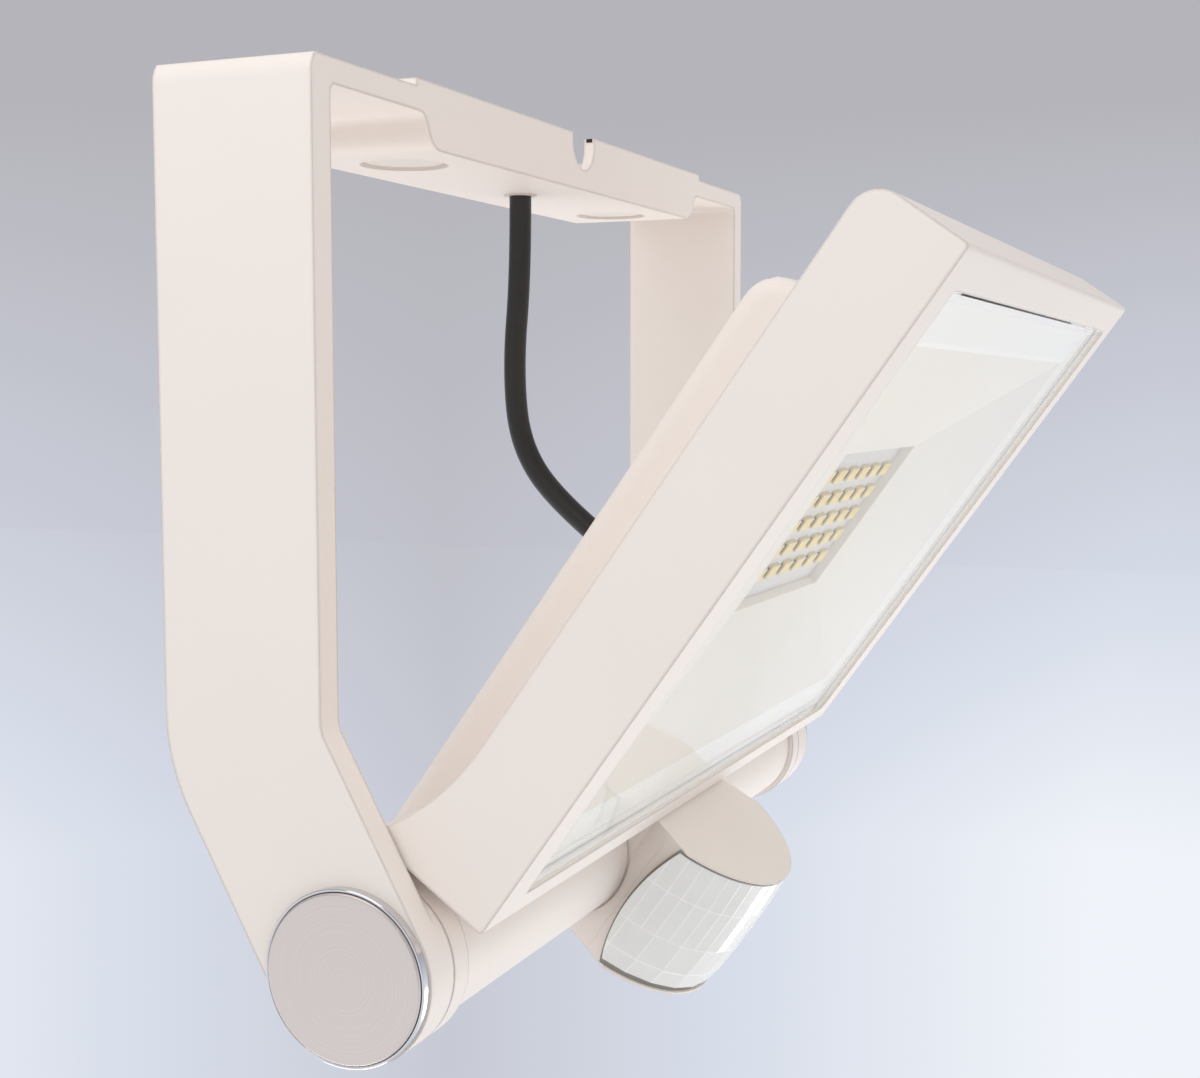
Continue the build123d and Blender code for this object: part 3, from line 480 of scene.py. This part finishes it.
# Phosphor gel: poured into the package's window and cured, it swells by 0.12 mm in the middle. Each ring is
# a share of the window's size at a height, and the power below 1 squares it off.
window_corners = 20
window_squareness = 0.4
window_rings = ((1.0, 0.01), (0.85, 0.084), (0.45, 0.12))
half_window = (package_length / 2 - window_margin, package_width / 2 - window_margin)
corner_turns = [2 * math.pi * corner / window_corners for corner in range(window_corners)]
window_outline = [
    [
        math.copysign(abs(turn) ** window_squareness, turn) * size
        for turn, size in zip((math.cos(angle), math.sin(angle)), half_window)
    ]
    for angle in corner_turns
]
points, faces = [], []
for across, height in package_places:
    start = len(points)
    for share, rise in window_rings:
        points += [(across + x * share, height + y * share, light_level + rise) for x, y in window_outline]
    for ring in range(len(window_rings) - 1):
        low, high = start + ring * window_corners, start + (ring + 1) * window_corners
        for corner in range(window_corners):
            following = (corner + 1) % window_corners
            faces.append((low + corner, low + following, high + following, high + corner))
    faces.append(tuple(high + corner for corner in range(window_corners)))
phosphor, tree = new_material("cured_phosphor_gel")
place = add(tree, "ShaderNodeTexCoord")
grit = add(
    tree, "ShaderNodeTexNoise",
    {"Vector": place.outputs["Object"], "Scale": 1 / (0.4 * mm), "Detail": 3.0},
)
shade = add(
    tree, "ShaderNodeMix",
    {"Factor": grit.outputs["Fac"], "A": linear("#FBDD7A"), "B": linear("#F3CB5E")}, data_type="RGBA",
)
surface = add(tree, "ShaderNodeBsdfPrincipled", {"Base Color": shade.outputs["Result"], "Roughness": 0.3})
add(tree, "ShaderNodeOutputMaterial", {"Surface": surface.outputs["BSDF"]})
windows = link_piece("phosphor_windows", lamp_mesh("phosphor_windows", points, faces), phosphor)
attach(windows, "lamp")

# Solder leads: a tinned lead at each end of every package, bent down onto the board.
lead_length = 0.35
lead_height = 0.45
lead_half_width = package_width / 3
board_depth = 0.8
lead_faces = ((0, 1, 3, 2), (4, 6, 7, 5), (0, 4, 5, 1), (2, 3, 7, 6), (1, 5, 7, 3), (0, 2, 6, 4))
points, faces = [], []
for across, height in package_places:
    for side in (-1, 1):
        start = len(points)
        near = across + side * package_length / 2
        far = near + side * lead_length
        low = light_level - board_depth
        for x in (near, far):
            for y in (height - lead_half_width, height + lead_half_width):
                points += [(x, y, low), (x, y, low + lead_height)]
        faces += [tuple(start + i for i in face) for face in lead_faces]
tin = metal("tinned_solder", "#9C8F80", "#7C7064", 0.4, 0.8 * mm)
leads = link_piece("solder_leads", lamp_mesh("solder_leads", points, faces), tin, smooth=False)
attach(leads, "lamp")

# Reflector: a shallow funnel in a flat bezel, vacuum-formed from white polycarbonate, which lies on the
# housing's ledge. It was blasted to a matt white that mirrors nothing; the bezel is painted a little
# whiter than the funnel, as painted light.
bezel_level = 8.2 * mm
reflector, tree = new_material("formed_white_polycarbonate")
place = add(tree, "ShaderNodeTexCoord")
from_hinge = add(tree, "ShaderNodeVectorMath", {0: place.outputs["Object"], 1: hinge}, operation="SUBTRACT")
level = add(
    tree, "ShaderNodeVectorMath",
    {0: from_hinge.outputs["Vector"], 1: lamp_forward}, operation="DOT_PRODUCT",
)
bezel_gloss_and_painted_light = add(tree, "ShaderNodeMath", {0: level.outputs["Value"], 1: bezel_level}, operation="GREATER_THAN")
sheet = add(
    tree, "ShaderNodeTexNoise",
    {"Vector": place.outputs["Object"], "Scale": 1 / (12 * mm), "Detail": 2.0},
)
soft = add(
    tree, "ShaderNodeMix",
    {"Factor": sheet.outputs["Fac"], "A": linear("#F9F4EB"), "B": linear("#F5F0E6")}, data_type="RGBA",
)
# Painted light: the bezel gets a whiter colour than the funnel of the same sheet.
shade = add(
    tree, "ShaderNodeMix",
    {
        "Factor": bezel_gloss_and_painted_light.outputs["Value"], "A": soft.outputs["Result"], "B": linear("#FFFEF9"),
    }, data_type="RGBA",
)
gloss = add(tree, "ShaderNodeMapRange", {"Value": bezel_gloss_and_painted_light.outputs["Value"], "To Min": 0.5, "To Max": 0.3})
bump = add(tree, "ShaderNodeBump", {"Height": sheet.outputs["Fac"], "Strength": 0.1, "Distance": 0.1 * mm})
surface = add(
    tree, "ShaderNodeBsdfPrincipled",
    {
        "Base Color": shade.outputs["Result"], "Specular IOR Level": 0.0,
        "Roughness": gloss.outputs["Result"], "Normal": bump.outputs["Normal"],
    },
)
add(tree, "ShaderNodeOutputMaterial", {"Surface": surface.outputs["BSDF"]})
dress(reflector, "reflector")

# Front glass: toughened float glass with ground edges, coated against reflections, bedded in white silicone
# on the reflector's rim. The coating leaves only a faint mirror, so the white inside shows clearly.
glass, tree = new_material("coated_float_glass")
clear = add(
    tree, "ShaderNodeBsdfPrincipled",
    {"Base Color": linear("#FEFEFE"), "Roughness": 0.0, "IOR": 1.05, "Transmission Weight": 1.0},
)
straight = add(tree, "ShaderNodeBsdfTransparent")
rays = add(tree, "ShaderNodeLightPath")
through = add(
    tree, "ShaderNodeMath",
    {0: rays.outputs["Is Shadow Ray"], 1: rays.outputs["Is Diffuse Ray"]}, operation="MAXIMUM",
)
mixed = add(
    tree, "ShaderNodeMixShader",
    {"Fac": through.outputs["Value"], 1: clear.outputs["BSDF"], 2: straight.outputs["BSDF"]},
)
add(tree, "ShaderNodeOutputMaterial", {"Surface": mixed.outputs["Shader"]})


glass_middle = 82.9
glass_half_width = 90.5
glass_half_length = 59.1
glass_corner = 1.5
corner_steps = 6


def glass_rings(name, rings, solid):
    """A sheet or a bead from rings round the glass, each (level, distance outside its edge) in millimetres."""
    points, faces = [], []
    for level, out in rings:
        for turn, (x, y) in enumerate(((1, 1), (-1, 1), (-1, -1), (1, -1))):
            for step in range(corner_steps + 1):
                angle = math.pi / 2 * (turn + step / corner_steps)
                across = x * (glass_half_width - glass_corner) + (glass_corner + out) * math.cos(angle)
                height = y * (glass_half_length - glass_corner) + (glass_corner + out) * math.sin(angle)
                points.append((across, glass_middle + height, level))
    count = 4 * (corner_steps + 1)
    for row in range(len(rings) - (1 if solid else 0)):
        start, end = row * count, (row + 1) % len(rings) * count
        faces += [(start + i, start + (i + 1) % count, end + (i + 1) % count, end + i) for i in range(count)]
    if solid:
        faces += [tuple(reversed(range(count))), tuple(range(len(points) - count, len(points)))]
    return lamp_mesh(name, points, faces)


# The sheet, 3 mm thick, with its edges ground off by 0.3 mm.
sheet_rings = ((8.93, -0.3), (9.2, 0.0), (11.6, 0.0), (11.9, -0.3))
glass_sheet = link_piece("glass_sheet", glass_rings("glass_sheet", sheet_rings, True), glass, smooth=False)
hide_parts("front_glass")
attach(glass_sheet, "lamp")

# White silicone run into the gap between the glass and the housing, over a seal of the same kind.
bead_rings = ((8.6, 0.33), (11.75, 0.33), (11.85, 0.17), (11.75, 0.02), (8.6, 0.02))
bead_white = moulded("white_silicone_bead", "#FFFDFA", "#FCFAF6", 0.45)
dress(bead_white, "glass_gasket")
bead = link_piece("glass_bead", glass_rings("glass_bead", bead_rings, False), bead_white)
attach(bead, "lamp")

# Driver housing: a box moulded in white ABS, screwed to the lamp's back with four zinc-plated screws, with
# the driver's green glass-epoxy board and its dark parts inside. A gland of the same ABS holds the cable.
abs_white = moulded("moulded_white_abs", "#F5ECE5", "#F1E8E1", 0.46)
dress(abs_white, "driver_housing", "cable_gland")
dress(zinc, "housing_screws")
epoxy = moulded("green_glass_epoxy", "#2F5F3C", "#285235", 0.38, grain=0.6 * mm)
dress(epoxy, "driver_board", "sensor_board")
part_black = moulded("black_moulding_compound", "#2B2A2C", "#222123", 0.5)
dress(part_black, "driver_parts")

# Sensor head: body and base in the same white ABS, clipped round the hollow axle. The base is held by two
# screws and carries two dials; a heat detector in a steel can sits on its board behind the lens.
dress(abs_white, "sensor_body", "sensor_base")
dress(zinc, "sensor_screws", "pir_detector")
dial_grey = moulded("grey_dial_abs", "#CDC6BE", "#C4BDB5", 0.5)
dress(dial_grey, "time_dial", "twilight_dial")
seal_grey = moulded("grey_lens_seal", "#9A968F", "#8D8982", 0.7)
dress(seal_grey, "lens_seal")

# Lens: milky polythene, injection-moulded in tiers of flat facets, thin enough to let some light into
# itself. Along each facet's and tier's edge a line 0.3 mm wide is painted paler, as a painted highlight,
# and raised a little in the bump.
drum_centre = 13.0 * mm
drum_radius = 25.0 * mm
facet_turn = math.radians(7.5)
tier_edges = (8.75 * mm, -1.14 * mm, -8.13 * mm)
line_width = 0.3 * mm
line_core = 0.25 * line_width
line_fade = 0.6 * line_width

lens_milk, tree = new_material("milky_polythene")
place = add(tree, "ShaderNodeTexCoord")
from_hinge = add(tree, "ShaderNodeVectorMath", {0: place.outputs["Object"], 1: hinge}, operation="SUBTRACT")
sides = add(tree, "ShaderNodeSeparateXYZ", {"Vector": from_hinge.outputs["Vector"]})
height = add(
    tree, "ShaderNodeVectorMath",
    {0: from_hinge.outputs["Vector"], 1: lamp_up}, operation="DOT_PRODUCT",
)
out = add(
    tree, "ShaderNodeVectorMath",
    {0: from_hinge.outputs["Vector"], 1: lamp_forward}, operation="DOT_PRODUCT",
)
forward = add(tree, "ShaderNodeMath", {0: out.outputs["Value"], 1: drum_centre}, operation="SUBTRACT")
turn = add(tree, "ShaderNodeMath", {0: sides.outputs["X"], 1: forward.outputs["Value"]}, operation="ARCTAN2")
narrow = add(
    tree, "ShaderNodeMath",
    {0: turn.outputs["Value"], 1: facet_turn / 2, 2: -facet_turn / 2}, operation="WRAP",
)
wide = add(
    tree, "ShaderNodeMath",
    {0: turn.outputs["Value"], 1: facet_turn, 2: -facet_turn}, operation="WRAP",
)
upper = add(tree, "ShaderNodeMath", {0: height.outputs["Value"], 1: tier_edges[1]}, operation="GREATER_THAN")
nearest = add(
    tree, "ShaderNodeMix",
    {"Factor": upper.outputs["Value"], "A": wide.outputs["Value"], "B": narrow.outputs["Value"]},
)
along = add(tree, "ShaderNodeMath", {0: nearest.outputs["Result"], 1: drum_radius}, operation="MULTIPLY")
distance = add(tree, "ShaderNodeMath", {0: along.outputs["Value"]}, operation="ABSOLUTE")
for tier_edge in tier_edges:
    over = add(tree, "ShaderNodeMath", {0: height.outputs["Value"], 1: tier_edge}, operation="SUBTRACT")
    gap = add(tree, "ShaderNodeMath", {0: over.outputs["Value"]}, operation="ABSOLUTE")
    distance = add(
        tree, "ShaderNodeMath",
        {0: distance.outputs["Value"], 1: gap.outputs["Value"]}, operation="MINIMUM",
    )
# Painted highlight: 1 on the facet and tier edges, where the paler white is painted.
line = add(
    tree, "ShaderNodeMapRange",
    {
        "Value": distance.outputs["Value"],
        "From Min": line_core, "From Max": line_fade, "To Min": 1.0, "To Max": 0.0,
    },
)
cloud = add(
    tree, "ShaderNodeTexNoise",
    {"Vector": place.outputs["Object"], "Scale": 1 / (6 * mm), "Detail": 2.0},
)
facet = add(
    tree, "ShaderNodeMix",
    {"Factor": cloud.outputs["Fac"], "A": linear("#F5F5F2"), "B": linear("#ECECE9")}, data_type="RGBA",
)
shade = add(
    tree, "ShaderNodeMix",
    {
        "Factor": line.outputs["Result"], "A": facet.outputs["Result"], "B": linear("#FFFFFE"),
    }, data_type="RGBA",
)
bump = add(tree, "ShaderNodeBump", {"Height": line.outputs["Result"], "Strength": 0.3, "Distance": 0.1 * mm})
surface = add(
    tree, "ShaderNodeBsdfPrincipled",
    {
        "Base Color": shade.outputs["Result"], "Roughness": 0.2, "Normal": bump.outputs["Normal"],
        "Subsurface Weight": 0.15, "Subsurface Radius": (1.0, 1.0, 1.0), "Subsurface Scale": 1.0 * mm,
    },
)
add(tree, "ShaderNodeOutputMaterial", {"Surface": surface.outputs["BSDF"]})
dress(lens_milk, "sensor_lens")

# Stage: a pale floor far below the lamp runs on into a backdrop. Both go from grey at the top to a bluish
# white low down and at the sides, for the camera, in gloss and through glass, and light the lamp plainly.
stage_colours = [(0.0, "#B5B4BA"), (0.25, "#C4C6D0"), (0.6, "#D6DCE9"), (1.0, "#F1F5FB")]
floor_level = -0.9
floor_half = 8.0
across_view = (0.389, -0.921, 0.0)
grey_height = 0.16
white_depth = -0.3
dark_side_shift = 0.09
glow_width = 0.4
middle_glow = 0.3
floor_shown = 0.95


def backdrop_colour(tree, direction):
    """The stage's colour in a direction from the lamp."""
    unit = add(tree, "ShaderNodeVectorMath", {0: direction}, operation="NORMALIZE")
    parts = add(tree, "ShaderNodeSeparateXYZ", {"Vector": unit.outputs["Vector"]})
    depth = add(
        tree, "ShaderNodeMapRange",
        {"Value": parts.outputs["Z"], "From Min": grey_height, "From Max": white_depth},
    )
    sideways = add(
        tree, "ShaderNodeVectorMath",
        {0: unit.outputs["Vector"], 1: across_view}, operation="DOT_PRODUCT",
    )
    shifted = add(tree, "ShaderNodeMath", {0: sideways.outputs["Value"], 1: dark_side_shift}, operation="ADD")
    away = add(tree, "ShaderNodeMath", {0: shifted.outputs["Value"]}, operation="ABSOLUTE")
    spread = add(
        tree, "ShaderNodeMapRange",
        {"Value": away.outputs["Value"], "From Max": glow_width, "To Min": middle_glow, "To Max": 1.0},
    )
    glow = add(
        tree, "ShaderNodeMath",
        {0: depth.outputs["Result"], 1: spread.outputs["Result"]}, operation="MULTIPLY",
    )
    blend = add(tree, "ShaderNodeValToRGB", {"Fac": glow.outputs["Value"]})
    for place, code in stage_colours[1:-1]:
        blend.color_ramp.elements.new(place)
    for stop, (place, code) in zip(blend.color_ramp.elements, stage_colours):
        stop.color = linear(code)
    return blend.outputs["Color"]


def seen_rays(tree):
    """1 for rays that show the stage: to the camera, in gloss and through glass."""
    rays = add(tree, "ShaderNodeLightPath")
    seen = add(
        tree, "ShaderNodeMath",
        {0: rays.outputs["Is Camera Ray"], 1: rays.outputs["Is Glossy Ray"]}, operation="MAXIMUM",
    )
    return add(
        tree, "ShaderNodeMath",
        {0: seen.outputs["Value"], 1: rays.outputs["Is Transmission Ray"]}, operation="MAXIMUM",
    ).outputs["Value"]


stage_colour, tree = new_material("pale_stage")
place = add(tree, "ShaderNodeTexCoord")
share = add(tree, "ShaderNodeMath", {0: seen_rays(tree), 1: floor_shown}, operation="MULTIPLY")
matt = add(tree, "ShaderNodeBsdfDiffuse", {"Color": linear("#E6E6E8")})
shown = add(
    tree, "ShaderNodeEmission",
    {"Color": backdrop_colour(tree, place.outputs["Object"]), "Strength": 1.0},
)
mixed = add(
    tree, "ShaderNodeMixShader",
    {"Fac": share.outputs["Value"], 1: matt.outputs["BSDF"], 2: shown.outputs["Emission"]},
)
add(tree, "ShaderNodeOutputMaterial", {"Surface": mixed.outputs["Shader"]})
mesh = bpy.data.meshes.new("floor")
floor_corners = [(x * floor_half, y * floor_half, floor_level) for x, y in ((-1, -1), (1, -1), (1, 1), (-1, 1))]
mesh.from_pydata(floor_corners, [], [(0, 1, 2, 3)])
floor = link_piece("floor", mesh, stage_colour)

world = bpy.data.worlds.new("studio")
bpy.context.scene.world = world
world.use_nodes = True
tree = world.node_tree
tree.nodes.clear()
place = add(tree, "ShaderNodeTexCoord")
light = add(tree, "ShaderNodeBackground", {"Color": linear("#FFFFFF"), "Strength": 0.86})
backdrop = add(
    tree, "ShaderNodeBackground",
    {"Color": backdrop_colour(tree, place.outputs["Generated"]), "Strength": 1.0},
)
mixed = add(
    tree, "ShaderNodeMixShader",
    {"Fac": seen_rays(tree), 1: light.outputs["Background"], 2: backdrop.outputs["Background"]},
)
add(tree, "ShaderNodeOutputWorld", {"Surface": mixed.outputs["Shader"]})

# Soft square studio lamps, each aimed at the middle of the object.
middle = Vector((0, -30, -90)) * mm
for name, place, size, power in (
    ("low_lamp", (0.15, 0.2, -0.8), 0.6, 2.3),
    ("right_lamp", (0.7, -0.45, -0.7), 0.5, 1.6),
    ("left_lamp", (-0.35, 0.05, 0.2), 0.3, 0.34),
):
    data = bpy.data.lights.new(name, "AREA")
    data.size = size
    data.energy = power
    lamp = bpy.data.objects.new(name, data)
    lamp.location = place
    lamp.rotation_euler = (middle - lamp.location).to_track_quat("-Z", "Y").to_euler()
    bpy.context.scene.collection.objects.link(lamp)

bpy.context.scene.view_settings.view_transform = "Standard"
